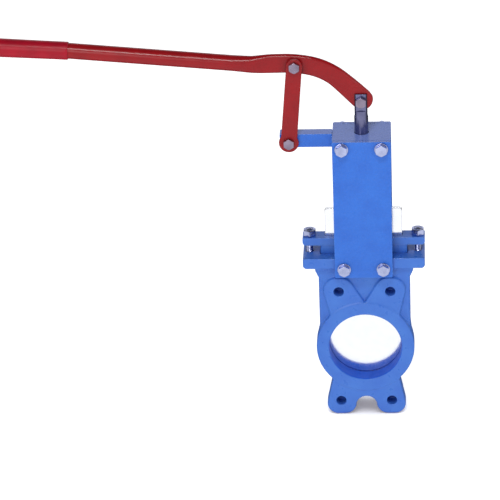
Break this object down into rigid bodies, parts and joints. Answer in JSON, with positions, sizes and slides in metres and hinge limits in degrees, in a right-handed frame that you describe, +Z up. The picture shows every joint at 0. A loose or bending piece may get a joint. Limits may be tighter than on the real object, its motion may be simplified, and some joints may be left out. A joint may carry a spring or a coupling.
{
  "type": "knife gate valve",
  "caption": "Lever-operated knife gate valve with a lugged wafer body, plate yoke, bolted gland and a swan-neck hand lever on a swinging link, closed.",
  "frame": {"origin": "bottom centre of the bounding box, in the plane of the two lower lugs that the valve stands on; the stem axis is at x = 0.2075 m and the centre of the bore at z = 0.1035 m", "axes": "+X across the valve, away from the hand lever; +Y along the pipe, from the inlet face to the outlet (seat) face; +Z up along the stem"},
  "size_m": [0.579, 0.083, 0.5507],
  "materials": {
    "cast_enamel": "blue gloss enamel over a casting",
    "plate_enamel": "blue gloss enamel over steel plate",
    "red_enamel": "red gloss enamel",
    "red_grip": "dipped red plastic",
    "stainless": "ground stainless plate",
    "bright_steel": "polished round bar",
    "zinc": "bright zinc plate",
    "seat_rubber": "moulded black rubber",
    "white_ptfe": "braided or machined PTFE",
    "bronze": "turned bronze"
  },
  "bodies": {
    "root": {"body": "cast_enamel", "gate_guide_left": "white_ptfe", "gate_guide_right": "white_ptfe", "gland_follower": "cast_enamel", "gland_nut_left": "zinc", "gland_nut_right": "zinc", "gland_stud_left": "zinc", "gland_stud_right": "zinc", "packing_ring_1": "white_ptfe", "packing_ring_2": "white_ptfe", "packing_ring_3": "white_ptfe", "pivot_arm": "plate_enamel", "seat_ring": "seat_rubber", "seat_sleeve": "stainless", "stem_bush": "bronze", "yoke_bolt_lower_front_left": "zinc", "yoke_bolt_lower_front_right": "zinc", "yoke_bolt_lower_rear_left": "zinc", "yoke_bolt_lower_rear_right": "zinc", "yoke_bolt_upper_front_left": "zinc", "yoke_bolt_upper_front_right": "zinc", "yoke_bolt_upper_rear_left": "zinc", "yoke_bolt_upper_rear_right": "zinc", "yoke_plate_front": "plate_enamel", "yoke_plate_rear": "plate_enamel", "yoke_top_block": "plate_enamel", "yoke_washer_lower_front_left": "zinc", "yoke_washer_lower_front_right": "zinc", "yoke_washer_lower_rear_left": "zinc", "yoke_washer_lower_rear_right": "zinc", "yoke_washer_upper_front_left": "zinc", "yoke_washer_upper_front_right": "zinc", "yoke_washer_upper_rear_left": "zinc", "yoke_washer_upper_rear_right": "zinc"},
    "stem": {"gate": "stainless", "stem": "bright_steel", "gate_pin_lower": "stainless", "gate_pin_upper": "stainless", "stem_bolt": "zinc", "stem_nut": "zinc"},
    "lever": {"lever": "red_enamel", "lever_grip": "red_grip"},
    "link": {"link": "red_enamel", "fulcrum_spacer": "zinc", "fulcrum_bolt": "zinc", "fulcrum_nut": "zinc", "anchor_bolt": "zinc", "anchor_nut": "zinc"}
  },
  "joints": [
    {"name": "stem_slide", "type": "slide", "parent": "root", "child": "stem", "axis": [0, 0, 1], "range_m": [0, 0.1015]},
    {"name": "lever_swing", "type": "hinge", "parent": "stem", "child": "lever", "pos_m": [0.2075, 0, 0.45575], "axis": [0, -1, 0], "range_deg": [0, 61]},
    {"name": "link_swing", "type": "hinge", "parent": "lever", "child": "link", "pos_m": [0.1222, 0, 0.50915], "axis": [0, -1, 0], "range_deg": [-59.5, 0]}
  ],
  "couplings": [
    {"joint": "lever_swing", "follows": "stem_slide", "rad_per_m": 10.393},
    {"joint": "link_swing", "follows": "stem_slide", "rad_per_m": -10.099}
  ]
}
